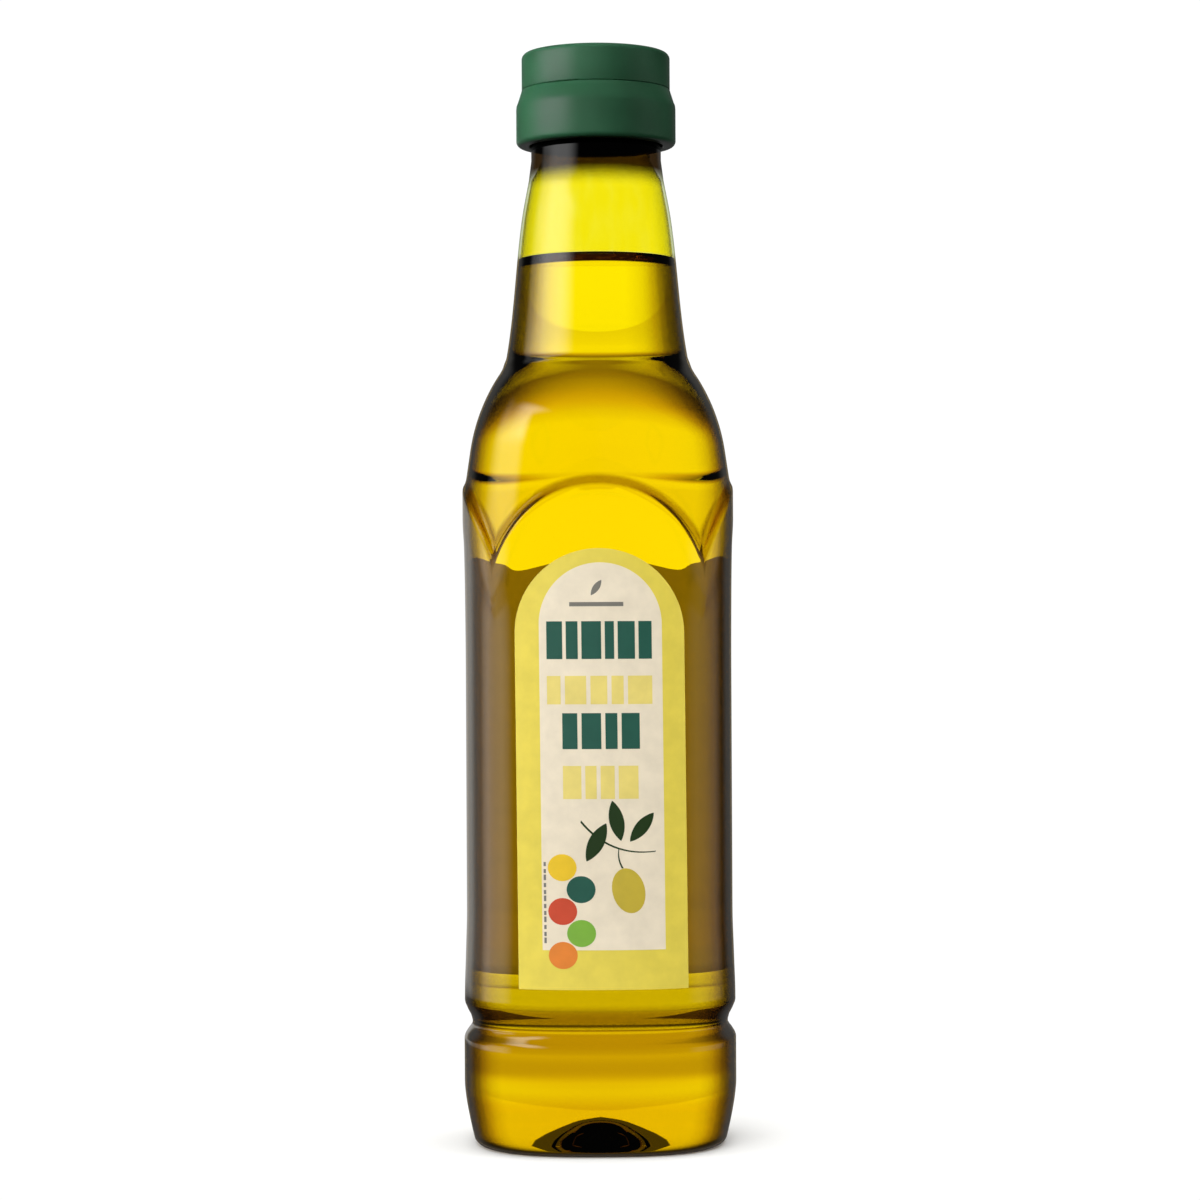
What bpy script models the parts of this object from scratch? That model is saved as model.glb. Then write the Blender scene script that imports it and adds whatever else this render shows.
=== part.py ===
"""A half-litre olive oil bottle: clear blown bottle, its oil, a two-step cap and two labels.

Metres, +Z up. The origin is the centre of the standing ring, and the front label faces -Y.
"""

import math
from dataclasses import dataclass, replace

import bmesh
import bpy
from mathutils import Vector

MM = 0.001
GAP = 0.3 * MM  # free space between pieces that touch on the real bottle

COLUMNS = 56  # facets round the bottle; a multiple of 8 puts a column on each rounded corner
CAP_COLUMNS = 48

# The bottle's plan is a squarish superellipse on the body and a circle from the dome up.
SQUARE_POWER = 2.6
WALL = 0.6 * MM

PANEL_HALF = 29.5 * MM  # half the width across two opposite label panels
RIM_HALF = 30.05 * MM  # the rims above and below each panel stand proud of it
BASE_HALF = 30.15 * MM

PUNT_RADIUS = 19.7 * MM  # the push-up in the underside
PUNT_RISE = 7.5 * MM
RING_HALF = 25.8 * MM  # outer edge of the flat standing ring
HEEL_ROUND = 2.5 * MM  # tight corner above the ring
HEEL_HEIGHT = 13.9 * MM  # the wall leans in from here down to the corner

WAIST_Z = 26.7 * MM  # deepest line of the groove below the panels
WAIST_DEPTH = 1.8 * MM
WAIST_UPPER_REACH = 5.2 * MM  # from the deepest line to the groove's upper lip
WAIST_LOWER_REACH = 3.25 * MM

PANEL_FOOT_Z = 51.9 * MM  # each panel is at its full depth between these heights
PANEL_HEAD_Z = 105.6 * MM
ARCH_RIM_Z = 138.3 * MM  # and back at the rim's width here, under its arch
ARCH_TOP = 145.75 * MM  # each panel ends at the top in a round arch
ARCH_RADIUS = 24.5 * MM

DOME_CENTRE_Z = 147.25 * MM  # the dome's profile is an arc, then a straight cone below it
DOME_CENTRE_R = -12.95 * MM
DOME_RADIUS = 41.75 * MM
DOME_FOOT_SLOPE = 0.15  # growth in radius for each unit down, on the cone
DOME_RISE = 23.0 * MM  # from the arch's top to the last ring of the dome

NECK_FOOT_Z, NECK_FOOT_HALF = 174.25 * MM, 20.15 * MM
NECK_BEND_Z, NECK_BEND_HALF = 204.85 * MM, 16.6 * MM
NECK_TOP_Z, NECK_TOP_HALF = 213.6 * MM, 15.0 * MM

COLLAR_HALF = 14.45 * MM  # plain collar below the thread
COLLAR_FOOT_Z = 217.9 * MM
COLLAR_TOP_Z = 228.95 * MM
FINISH_HALF = 13.35 * MM
LIP_Z = 239.4 * MM
LIP_ROUND = 0.5 * MM
BORE_HALF = 11.9 * MM

OIL_LEVEL = 196.6 * MM

CAP_TOP_Z = 242.1 * MM
CAP_CROWN = 0.3 * MM  # rise of the top from its edge to its middle
CAP_HALF = 16.5 * MM
CAP_ROUND = 1.35 * MM
CAP_FOOT_Z = 233.65 * MM
CAP_BORE_HALF = 13.9 * MM
CAP_CEILING_Z = LIP_Z + GAP

BAND_HALF = 17.75 * MM
BAND_TOP_Z = CAP_FOOT_Z - GAP
BAND_SHOULDER_Z = 229.8 * MM
BAND_FOOT_Z = 221.1 * MM
BAND_ROUND = 1.15 * MM
BAND_BORE_HALF = 14.9 * MM

LABEL_HALF_WIDTH = 18.2 * MM
FRONT_LABEL_FOOT_Z = 36.4 * MM
BACK_LABEL_FOOT_Z = 34.8 * MM
LABEL_TOP_Z = 131.05 * MM
LABEL_THICK = 0.2 * MM
LABEL_COLUMNS, LABEL_ROWS = 14, 12


@dataclass(frozen=True)
class Row:
    """One ring of vertices: its height and half-width at the middle of a face.

    square goes from 0, round, to 1, the body's full squareness. drop is the share of the arch's
    fall towards the corners that the ring follows. dome is the share taken by the round dome.
    inner marks the rings that the inside of the wall repeats.
    """

    z: float
    half: float
    square: float = 0.0
    drop: float = 0.0
    dome: float = 0.0
    inset: float = 0.0
    inner: bool = True


def plan(angle: float, square: float) -> float:
    """Distance from the axis to a superellipse of half-width 1."""
    power = 2 + (SQUARE_POWER - 2) * square
    return (abs(math.cos(angle)) ** power + abs(math.sin(angle)) ** power) ** (-1 / power)


def arch_fall(angle: float) -> float:
    """How far the arch line lies below its top at this angle round the bottle."""
    quarter = math.pi / 2
    from_face = (angle + quarter / 2) % quarter - quarter / 2
    across = RIM_HALF * plan(from_face, 1) * math.sin(from_face)
    return ARCH_RADIUS - math.sqrt(ARCH_RADIUS**2 - across**2)


def dome_half(z: float, inset: float = 0.0) -> float:
    """Radius of the dome, or of its inner face a given distance inside."""
    lean = math.atan(DOME_FOOT_SLOPE)
    radius = DOME_RADIUS - inset
    foot_z = DOME_CENTRE_Z + radius * math.sin(lean)
    if z < foot_z:
        return DOME_CENTRE_R + radius * math.cos(lean) + (foot_z - z) * DOME_FOOT_SLOPE
    return DOME_CENTRE_R + math.sqrt(radius**2 - (z - DOME_CENTRE_Z) ** 2)


def place(row: Row, angle: float) -> tuple[float, float, float]:
    """The point of a ring at an angle round the axis."""
    z = row.z - row.drop * arch_fall(angle)
    radius = row.half * plan(angle, row.square)
    if row.dome:
        radius += row.dome * (dome_half(z, row.inset) - radius)
    return radius * math.cos(angle), radius * math.sin(angle), z


def punt_rows() -> list[Row]:
    """The bell-shaped push-up, from the axis to the standing ring."""
    steps = 5
    rows = []
    for step in range(steps):
        share = step / steps
        rise = PUNT_RISE * (1 + math.cos(math.pi * share)) / 2
        rows.append(Row(rise, PUNT_RADIUS * share, inner=step != 3))
    return rows


def base_rows() -> list[Row]:
    """The flat standing ring, its tight corner and the heel that leans out above it."""
    rows = [Row(0, PUNT_RADIUS), Row(0, RING_HALF, square=1)]
    steps = 3
    for step in range(1, steps + 1):
        turn = math.pi / 2 * step / steps
        half = RING_HALF + HEEL_ROUND * math.sin(turn)
        z = HEEL_ROUND * (1 - math.cos(turn))
        rows.append(Row(z, half, square=1, inner=step == 2))
    lean = BASE_HALF - RING_HALF - HEEL_ROUND
    for share in (0.5, 0.75, 1.0):
        z = HEEL_ROUND + (HEEL_HEIGHT - HEEL_ROUND) * share
        half = BASE_HALF - lean * (1 - share) ** 1.5
        rows.append(Row(z, half, square=1, inner=share != 0.75))
    return rows


def waist_rows() -> list[Row]:
    """The groove round the bottle below the panels: a V whose three bends are eased."""
    rows = []
    bends = ((-1, 0), (-0.88, 0.06), (-0.14, 0.94), (0, 1), (0.14, 0.94), (0.88, 0.06), (1, 0))
    for share, depth in bends:
        reach = WAIST_UPPER_REACH if share > 0 else WAIST_LOWER_REACH
        lip_half = RIM_HALF if share > 0 else BASE_HALF
        half = lip_half - WAIST_DEPTH * depth
        rows.append(Row(WAIST_Z + reach * share, half, square=1, inner=abs(share) in (0, 1)))
    return rows


def panel_rows() -> list[Row]:
    """The recessed label panels, from the lower rim to the step at the arch."""
    mid_half = (PANEL_HALF + RIM_HALF) / 2
    foot_ease_z = (WAIST_Z + WAIST_UPPER_REACH + PANEL_FOOT_Z) / 2
    rows = [Row(foot_ease_z, mid_half, square=1), Row(PANEL_FOOT_Z, PANEL_HALF, square=1)]
    for share, proud, drop in ((0, 0, 0.15), (0.53, 0.2, 0.55), (0.82, 0.5, 0.9), (1, 1, 1)):
        z = PANEL_HEAD_Z + (ARCH_RIM_Z - PANEL_HEAD_Z) * share
        half = PANEL_HALF + (RIM_HALF - PANEL_HALF) * proud
        rows.append(Row(z, half, square=1, drop=drop, inner=share != 0.82))
    for below, dome in ((1.45 * MM, 0), (0.5 * MM, 0.15), (-0.65 * MM, 0.85)):
        rows.append(Row(ARCH_TOP - below, RIM_HALF, square=1, drop=1, dome=dome, inner=not dome))
    return rows


def dome_rows() -> list[Row]:
    """The round dome: its rings even out from the arch line to level ones."""
    rows = []
    steps = [(0.08, 1), (0.23, 0.85), (0.38, 0.6), (0.52, 0.33), (0.66, 0.12), (0.79, 0), (0.9, 0)]
    for index, (share, drop) in enumerate(steps + [(1, 0)]):
        z = ARCH_TOP + DOME_RISE * share
        rows.append(Row(z, dome_half(z), drop=drop, dome=1, inner=index % 2 == 0))
    return rows


def neck_rows() -> list[Row]:
    """The hollow bend out of the dome and the tapering neck up to the collar."""
    bend = NECK_FOOT_Z - ARCH_TOP - DOME_RISE
    low_z, high_z = NECK_FOOT_Z - bend / 2, NECK_FOOT_Z - bend / 4
    return [
        Row(low_z, dome_half(low_z) + 0.1 * MM),
        Row(high_z, NECK_FOOT_HALF + 0.5 * MM, inner=False),
        Row(NECK_FOOT_Z, NECK_FOOT_HALF),
        Row(NECK_BEND_Z, NECK_BEND_HALF),
        Row(NECK_TOP_Z, NECK_TOP_HALF),
    ]


def wall_rows() -> list[Row]:
    """The whole outer wall, from the standing ring to the top of the neck."""
    return base_rows() + waist_rows() + panel_rows() + dome_rows() + neck_rows()


def finish_rows() -> list[Row]:
    """Collar, threadless finish, lip and bore, from outside to inside."""
    return [
        Row(COLLAR_FOOT_Z, COLLAR_HALF),
        Row(COLLAR_TOP_Z, COLLAR_HALF),
        Row(COLLAR_TOP_Z + COLLAR_HALF - FINISH_HALF, FINISH_HALF),
        Row(LIP_Z - LIP_ROUND, FINISH_HALF),
        Row(LIP_Z, FINISH_HALF - LIP_ROUND),
        Row(LIP_Z, BORE_HALF + LIP_ROUND),
        Row(LIP_Z - LIP_ROUND, BORE_HALF),
        Row(COLLAR_FOOT_Z, BORE_HALF),
    ]


def inset_rows(rows: list[Row], distance: float) -> list[Row]:
    """The rings marked inner, moved into the wall across the profile's own slope."""
    kept = [row for row in rows if row.inner]
    moved = []
    for index, row in enumerate(kept):
        before, after = kept[max(index - 1, 0)], kept[min(index + 1, len(kept) - 1)]
        along_z, along_half = after.z - before.z, after.half - before.half
        length = math.hypot(along_z, along_half)
        if row.half == 0:
            moved.append(replace(row, z=row.z + distance))
        elif row.dome or row.drop:
            moved.append(replace(row, half=row.half - distance, inset=distance))
        else:
            z = row.z + distance * along_half / length
            moved.append(replace(row, z=z, half=row.half - distance * along_z / length))
    return moved


def turned(name: str, rows: list[Row], columns: int, closed: bool) -> bpy.types.Object:
    """A closed body spun from a profile, with each of its rings then shaped by its row.

    An open profile starts and ends on the axis. A closed one is a ring's section.
    """
    shape = bmesh.new()
    layer = shape.verts.layers.int.new("row")
    profile = []
    for index, row in enumerate(rows):
        vertex = shape.verts.new((row.half, 0, row.z))
        vertex[layer] = index
        profile.append(vertex)
    last = len(profile) if closed else len(profile) - 1
    edges = [shape.edges.new((profile[i], profile[(i + 1) % len(profile)])) for i in range(last)]
    bmesh.ops.spin(
        shape,
        geom=profile + edges,
        cent=(0, 0, 0),
        axis=(0, 0, 1),
        angle=math.tau,
        steps=columns,
        use_merge=True,
    )
    for vertex in shape.verts:
        angle = math.atan2(vertex.co.y, vertex.co.x)
        vertex.co = place(rows[vertex[layer]], angle)
    bmesh.ops.remove_doubles(shape, verts=shape.verts, dist=1e-6)
    bmesh.ops.recalc_face_normals(shape, faces=shape.faces)
    return finished(name, shape)


def finished(name: str, shape: bmesh.types.BMesh) -> bpy.types.Object:
    """An object in the scene that holds the shape, shaded smooth but for its sharp edges."""
    mesh = bpy.data.meshes.new(name)
    shape.to_mesh(mesh)
    shape.free()
    mesh.shade_smooth()
    mesh.set_sharp_from_angle(angle=math.radians(35))
    piece = bpy.data.objects.new(name, mesh)
    bpy.context.scene.collection.objects.link(piece)
    return piece


def dress(piece: bpy.types.Object, color: tuple, roughness: float, alpha: float = 1.0) -> None:
    """Gives a piece its own Principled material."""
    material = bpy.data.materials.new(piece.name)
    material.use_nodes = True
    shader = material.node_tree.nodes["Principled BSDF"]
    shader.inputs["Base Color"].default_value = (*color, 1)
    shader.inputs["Roughness"].default_value = roughness
    shader.inputs["Metallic"].default_value = 0
    shader.inputs["Alpha"].default_value = alpha
    piece.data.materials.append(material)


def make_bottle() -> bpy.types.Object:
    """The clear bottle: one wall with an open mouth, hollow down to the push-up."""
    outside = punt_rows() + wall_rows()
    inside = inset_rows(outside, WALL)
    return turned("bottle", outside + finish_rows() + inside[::-1], COLUMNS, closed=False)


def make_oil() -> bpy.types.Object:
    """The oil: everything inside the wall up to a level surface in the neck."""
    inside = inset_rows(punt_rows() + wall_rows(), WALL + GAP)
    below = [row for row in inside if row.z < OIL_LEVEL]
    foot, top = below[-1], inside[len(below)]
    share = (OIL_LEVEL - foot.z) / (top.z - foot.z)
    surface = Row(OIL_LEVEL, foot.half + (top.half - foot.half) * share)
    return turned("oil", below + [surface, Row(OIL_LEVEL, 0)], COLUMNS, closed=False)


def quarter_round(half: float, z: float, radius: float, start: float, steps: int) -> list[Row]:
    """Rings on a quarter circle about a point of the section, turning clockwise from start."""
    rows = []
    for step in range(steps + 1):
        turn = start - math.pi / 2 * step / steps
        rows.append(Row(z + radius * math.sin(turn), half + radius * math.cos(turn)))
    return rows


def make_cap() -> bpy.types.Object:
    """The screw cap: a cup with a faintly crowned top and a rounded edge."""
    edge_z = CAP_TOP_Z - CAP_CROWN - CAP_ROUND
    corner = quarter_round(CAP_HALF - CAP_ROUND, edge_z, CAP_ROUND, math.pi / 2, 4)
    rows = [Row(CAP_TOP_Z, 0), Row(CAP_TOP_Z - CAP_CROWN / 4, CAP_HALF / 2)]
    rows += corner
    rows += [
        Row(CAP_FOOT_Z, CAP_HALF),
        Row(CAP_FOOT_Z, CAP_BORE_HALF),
        Row(CAP_CEILING_Z, CAP_BORE_HALF),
        Row(CAP_CEILING_Z, 0),
    ]
    return turned("cap", rows, CAP_COLUMNS, closed=False)


def make_tamper_band() -> bpy.types.Object:
    """The wider lower step of the closure: a ring that flares out below the cap."""
    rows = [
        Row(BAND_TOP_Z, BAND_BORE_HALF),
        Row(BAND_TOP_Z, CAP_HALF),
        Row(BAND_SHOULDER_Z + 0.5 * MM, BAND_HALF - 0.15 * MM),
        Row(BAND_SHOULDER_Z - 0.5 * MM, BAND_HALF),
    ]
    rows += quarter_round(BAND_HALF - BAND_ROUND, BAND_FOOT_Z + BAND_ROUND, BAND_ROUND, 0, 3)
    rows.append(Row(BAND_FOOT_Z, BAND_BORE_HALF))
    return turned("tamper_band", rows, CAP_COLUMNS, closed=True)


def wall_half_at(angle: float, z: float) -> float:
    """Distance from the axis to the outer wall, between the rings above and below."""
    points = [place(row, angle) for row in wall_rows()]
    for low, high in zip(points, points[1:]):
        if low[2] <= z <= high[2]:
            share = (z - low[2]) / (high[2] - low[2])
            near, far = math.hypot(*low[:2]), math.hypot(*high[:2])
            return near + (far - near) * share
    raise ValueError(f"no wall at {z}")


def make_label(name: str, facing: float, foot_z: float) -> bpy.types.Object:
    """An arch-topped sheet that lies round the face at angle facing, a gap off the wall."""
    shape = bmesh.new()
    bmesh.ops.create_grid(shape, x_segments=LABEL_COLUMNS, y_segments=LABEL_ROWS, size=1)
    arch_foot = LABEL_TOP_Z - LABEL_HALF_WIDTH
    for vertex in shape.verts:
        spread, rise = vertex.co.x, (vertex.co.y + 1) / 2
        across = LABEL_HALF_WIDTH * math.sin(spread * math.pi / 2)
        top = arch_foot + math.sqrt(max(LABEL_HALF_WIDTH**2 - across**2, 0))
        z = foot_z + (top - foot_z) * rise
        turn = math.asin(across / PANEL_HALF)
        for _ in range(3):
            turn = math.asin(across / (wall_half_at(turn, z) + GAP))
        radius = wall_half_at(turn, z) + GAP
        angle = facing + turn
        vertex.co = (radius * math.cos(angle), radius * math.sin(angle), z)
    bmesh.ops.recalc_face_normals(shape, faces=shape.faces)
    out = Vector((math.cos(facing), math.sin(facing), 0))
    if sum(face.normal.dot(out) for face in shape.faces) < 0:
        bmesh.ops.reverse_faces(shape, faces=shape.faces)
    piece = finished(name, shape)
    solidify = piece.modifiers.new("thickness", "SOLIDIFY")
    solidify.thickness = LABEL_THICK
    solidify.offset = 1
    return piece


def main() -> None:
    """Builds the six pieces in an empty scene."""
    for old in list(bpy.data.objects):
        bpy.data.objects.remove(old)
    dress(make_bottle(), (0.90, 0.92, 0.84), 0.05, alpha=0.3)
    dress(make_oil(), (0.83, 0.60, 0.02), 0.1)
    dress(make_cap(), (0.017, 0.065, 0.029), 0.35)
    dress(make_tamper_band(), (0.017, 0.065, 0.029), 0.35)
    front = make_label("front_label", -math.pi / 2, FRONT_LABEL_FOOT_Z)
    back = make_label("back_label", math.pi / 2, BACK_LABEL_FOOT_Z)
    dress(front, (0.86, 0.76, 0.40), 0.5)
    dress(back, (0.86, 0.76, 0.40), 0.5)


main()
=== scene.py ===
"""Looks of the half-litre olive oil bottle: clear blown bottle, oil, green closure and two labels.

Metres, +Z up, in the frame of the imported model. The front label faces -Y.
"""

import logging
import math
from collections.abc import Callable, Sequence
from dataclasses import dataclass, field, replace
from enum import Enum
from functools import partial
from typing import Any

import bmesh
import bpy
from bmesh.types import BMesh, BMVert
from bpy.types import Material, Node, NodeOutputs, NodeSocket, NodeTree, Object
from mathutils import Matrix, Vector


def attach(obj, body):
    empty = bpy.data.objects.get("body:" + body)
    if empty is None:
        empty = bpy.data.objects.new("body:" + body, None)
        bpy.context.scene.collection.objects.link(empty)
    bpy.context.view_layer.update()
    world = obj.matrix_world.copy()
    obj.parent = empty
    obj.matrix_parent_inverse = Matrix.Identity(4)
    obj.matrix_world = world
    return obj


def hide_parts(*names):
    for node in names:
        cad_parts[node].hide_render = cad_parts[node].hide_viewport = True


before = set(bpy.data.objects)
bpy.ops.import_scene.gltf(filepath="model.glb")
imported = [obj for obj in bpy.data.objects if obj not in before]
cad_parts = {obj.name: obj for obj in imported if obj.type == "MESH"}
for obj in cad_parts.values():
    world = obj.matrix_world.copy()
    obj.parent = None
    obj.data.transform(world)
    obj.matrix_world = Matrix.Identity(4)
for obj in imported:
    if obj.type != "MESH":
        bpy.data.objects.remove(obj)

logger = logging.getLogger("olive_oil_bottle")

Adder = Callable[..., Node]
Point = tuple[float, float, float]

MM = 0.001
BODY = "root"
SMOOTH = {"interpolation_type": "SMOOTHSTEP"}


class Slot(Enum):
    """The record's material slots."""

    PET = "clear_pet"
    OIL = "olive_oil"
    CLOSURE = "cap_green"
    LABEL = "label_paper"


class Face(Enum):
    """The two labelled faces: the direction that each looks in, as an angle from +X."""

    FRONT = -math.pi / 2
    BACK = math.pi / 2


def linear(colour: str) -> tuple[float, float, float, float]:
    """Turns an sRGB hex colour into linear light.

    Args:
        colour: Six hex digits.

    Returns:
        Linear red, green and blue, and an alpha of 1.
    """
    parts = []
    for start in (0, 2, 4):
        value = int(colour[start : start + 2], 16) / 255
        parts.append(value / 12.92 if value <= 0.04045 else ((value + 0.055) / 1.055) ** 2.4)
    return parts[0], parts[1], parts[2], 1.0


def add_node(tree: NodeTree, kind: str, inputs: dict | None = None, **settings: Any) -> Node:
    """Adds a node, with its settings and its links.

    Args:
        tree: The node tree that takes the node.
        kind: Blender's name for the node's type, without its ShaderNode.
        inputs: For each input a value, the output that feeds it or a node whose first output does.
        settings: Properties of the node.

    Returns:
        The new node.
    """
    made = tree.nodes.new(f"ShaderNode{kind}")
    for name, value in settings.items():
        setattr(made, name, value)
    for key, value in (inputs or {}).items():
        source = value.outputs[0] if isinstance(value, Node) else value
        if isinstance(source, NodeSocket):
            tree.links.new(source, made.inputs[key])
        else:
            made.inputs[key].default_value = source
    return made


def new_material(name: str) -> tuple[Material, Adder]:
    """Starts an empty node material.

    Args:
        name: Name of the material.

    Returns:
        The material, and add_node for its tree.
    """
    material = bpy.data.materials.new(name)
    material.use_nodes = True
    material.node_tree.nodes.clear()
    return material, partial(add_node, material.node_tree)


def ramp_stops(ramp: Node, stops: Sequence, start: float = 0.0, span: float = 1.0) -> NodeSocket:
    """Gives a colour ramp its stops.

    Args:
        ramp: The Color Ramp node.
        stops: Place and colour of each, from low to high, as hex, as a grey or as linear light.
        start: Place at the ramp's lower end.
        span: Length of the ramp.

    Returns:
        The ramp's colour.
    """
    elements = ramp.color_ramp.elements
    while len(elements) < len(stops):
        elements.new(1.0)
    for element, (place, colour) in zip(elements, stops):
        element.position = (place - start) / span
        if isinstance(colour, str):
            colour = linear(colour)
        elif isinstance(colour, float):
            colour = (colour, colour, colour, 1.0)
        element.color = colour
    return ramp.outputs["Color"]


def relief(
    add: Adder, place: NodeSocket, size: float, height: float, strength: float = 1.0, **noise: float
) -> Node:
    """Adds the relief of a fine, irregular surface.

    Args:
        add: Adds a node to the material.
        place: The place on the surface.
        size: Size of one grain or wave.
        height: How far it stands up.
        strength: Share of the relief that is felt.
        noise: Inputs of the noise that differ from a plain one's.

    Returns:
        The node that bends the surface's normal.
    """
    grain = add("TexNoise", {"Vector": place, "Scale": 1 / size, "Detail": 2.0, **noise})
    return add("Bump", {"Height": grain, "Strength": strength, "Distance": height})


def gloss_outside(add: Adder, clear: Node, inside: Node, ior: float, gloss: dict) -> Node:
    """Adds a thin clear layer with a Fresnel gloss on its outer side alone.

    Args:
        add: Adds a node to the material.
        clear: What lets light through from outside.
        inside: What lets it through from inside.
        ior: Index of refraction, which sets the strength of the gloss.
        gloss: Inputs of the gloss: its roughness and, if it has relief, its normal.

    Returns:
        The shader.
    """
    mirror = add("BsdfGlossy", gloss)
    fresnel = add("Fresnel", {"IOR": ior} | {key: gloss[key] for key in gloss if key == "Normal"})
    outside = add("MixShader", {0: fresnel, 1: clear, 2: mirror})
    behind = add("NewGeometry").outputs["Backfacing"]
    return add("MixShader", {0: behind, 1: outside, 2: inside})


@dataclass(frozen=True)
class BlownPet:
    """Clear PET, stretch-blown in a polished mould.

    The eye gets a hard, clean gloss that ripples a little where the wall's thickness wanders.
    The wall is darkened where it is seen edge on: painted shade that stands in for the dark room
    seen through its edges. backed and empty are these painted tints with and without oil behind,
    one for each slant of the view. thickness gives painted shade by height: a little at the heel,
    a brown band at the groove, a paler one above it and dark brown shade under the closure. A
    tint by the distance out from the line of the arch paints a dark line of shade along it.
    """

    ior: float = 1.575
    roughness: float = 0.06
    ripple: float = 14 * MM
    ripple_height: float = 0.05 * MM
    # Painted shade: tints that darken the wall towards its edges, without oil behind and with it.
    empty: tuple[str, ...] = ("ffffff", "f2f6dc", "dce6b0", "a4b070")
    backed: tuple[str, ...] = ("ffffff", "fffdf4", "86703c", "4a3a1c")
    slants: tuple[float, ...] = (0.3, 0.62, 0.82, 1.0)
    level: float = 196.2 * MM
    level_blur: float = 0.8 * MM
    height: float = 242.1 * MM
    # Painted shade by height: a little at the heel, a brown band at the upper side of the groove, a
    # paler one just above it, and dark brown shade from the top of the neck up, under the closure.
    thickness: tuple[tuple[float, str], ...] = (
        (11.0 * MM, "e9d6b0"),
        (14.5 * MM, "ffffff"),
        (26.8 * MM, "ffffff"),
        (28.4 * MM, "94805a"),
        (31.0 * MM, "94805a"),
        (33.0 * MM, "cdc9bc"),
        (38.5 * MM, "cdcbc0"),
        (41.5 * MM, "ffffff"),
        (211.4 * MM, "ffffff"),
        (215.2 * MM, "342413"),
    )
    arch_centre: float = 121.25 * MM
    arch_radius: float = 24.5 * MM
    arch_reach: float = 4.0 * MM
    # Painted shade: a dark line along the arch over each panel.
    arch_shade_line: tuple[tuple[float, str], ...] = (
        (-1.4 * MM, "ffffff"),
        (-0.4 * MM, "bcaa60"),
        (0.5 * MM, "bcaa60"),
        (1.8 * MM, "ffffff"),
    )

    def arch(self, add: Adder, axes: NodeOutputs) -> NodeSocket:
        """Adds a painted dark line of shade along the arch over each panel.

        Args:
            add: Adds a node to the wall's material.
            axes: The place on the wall, split into X, Y and Z.

        Returns:
            The painted shade's colour.
        """
        sides = [add("Math", {0: axes[name]}, operation="ABSOLUTE") for name in ("X", "Y")]
        across = add("Math", {0: sides[0], 1: sides[1]}, operation="MINIMUM")
        rise = add("Math", {0: axes["Z"], 1: self.arch_centre}, operation="SUBTRACT")
        above = add("Math", {0: rise, 1: 0.0}, operation="MAXIMUM")
        spoke = add("CombineXYZ", {"X": across, "Y": above})
        length = add("VectorMath", {0: spoke}, operation="LENGTH").outputs["Value"]
        low, high = self.arch_radius - self.arch_reach, self.arch_radius + self.arch_reach
        share = add("MapRange", {"Value": length, "From Min": low, "From Max": high})
        tint = add("ValToRGB", {0: share})
        colour = ramp_stops(tint, self.arch_shade_line, -self.arch_reach, 2 * self.arch_reach)
        tint.color_ramp.interpolation = "EASE"
        return colour

    def material(self) -> Material:
        """Builds the wall's material: a clear wall under a Fresnel gloss, clear from inside.

        Returns:
            The material.
        """
        made, add = new_material("blown_pet_clear")
        place = add("TexCoord").outputs["Object"]
        axes = add("SeparateXYZ", {0: place}).outputs
        # Painted shade by the slant of the view, darker edge on.
        facing = add("LayerWeight", {"Blend": 0.5}).outputs["Facing"]
        backed, empty = (
            ramp_stops(add("ValToRGB", {0: facing}), list(zip(self.slants, colours)))
            for colours in (self.backed, self.empty)
        )
        low, high = self.level - self.level_blur, self.level + self.level_blur
        above = add("MapRange", {"Value": axes["Z"], "From Min": low, "From Max": high})
        tint = add("Mix", {0: above, 6: backed, 7: empty}, data_type="RGBA").outputs[2]
        # plastic carries the painted shade by height; with the painted line of shade at the arch it
        # darkens the tint.
        upright = add("Math", {0: axes["Z"], 1: self.height}, operation="DIVIDE")
        plastic = ramp_stops(add("ValToRGB", {0: upright}), self.thickness, span=self.height)
        multiply = {"data_type": "RGBA", "blend_type": "MULTIPLY"}
        for colour in (plastic, self.arch(add, axes)):
            tint = add("Mix", {0: 1.0, 6: tint, 7: colour}, **multiply).outputs[2]
        clear = add("BsdfTransparent", {"Color": tint})
        waves = relief(add, place, self.ripple, self.ripple_height, Detail=1.5, Roughness=0.4)
        gloss = {"Roughness": self.roughness, "Normal": waves}
        wall = gloss_outside(add, clear, add("BsdfTransparent"), self.ior, gloss)
        add("OutputMaterial", {"Surface": wall})
        return made


@dataclass(frozen=True)
class InnerPet:
    """The same wall's inner face, wet with oil or in the shade of the closure.

    Oil and plastic bend light almost alike, so this face shows no gloss of its own.
    """

    tint: str = "fffdf2"

    def material(self) -> Material:
        """Builds the inner face's material.

        Returns:
            The material.
        """
        made, add = new_material("blown_pet_inner_face")
        add("OutputMaterial", {"Surface": add("BsdfTransparent", {"Color": linear(self.tint)})})
        return made


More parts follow.
